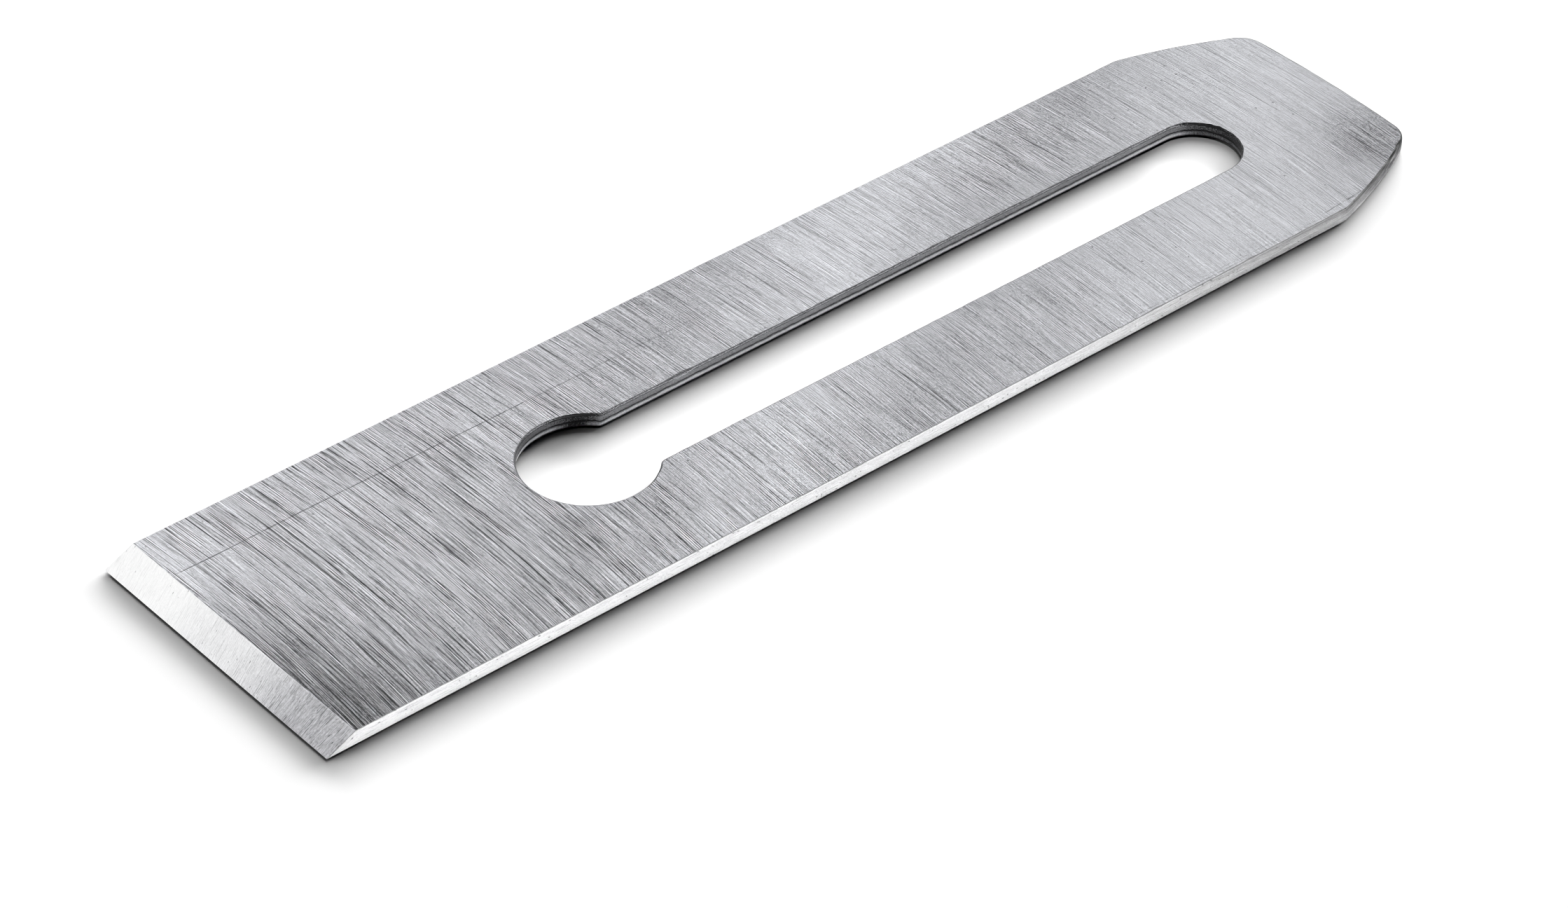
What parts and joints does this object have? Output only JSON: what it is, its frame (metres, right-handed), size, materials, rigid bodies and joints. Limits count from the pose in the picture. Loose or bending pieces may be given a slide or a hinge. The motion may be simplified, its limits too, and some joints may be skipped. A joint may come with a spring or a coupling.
{
  "type": "hand plane iron",
  "caption": "Flat steel plane blade with a ground bevel, a long keyhole slot for the cap screw and clipped back corners.",
  "frame": {"origin": "bottom centre of the bounding box, on the flat back", "axes": "+X from the cutting edge to the clipped back end, +Y across the blade, +Z out of the bevel side"},
  "size_m": [0.188, 0.045, 0.002],
  "materials": {
    "tool_steel": "cross-ground faces, drawn side edges, punched slot walls"
  },
  "bodies": {
    "root": {"plane_iron": "tool_steel"}
  },
  "joints": []
}
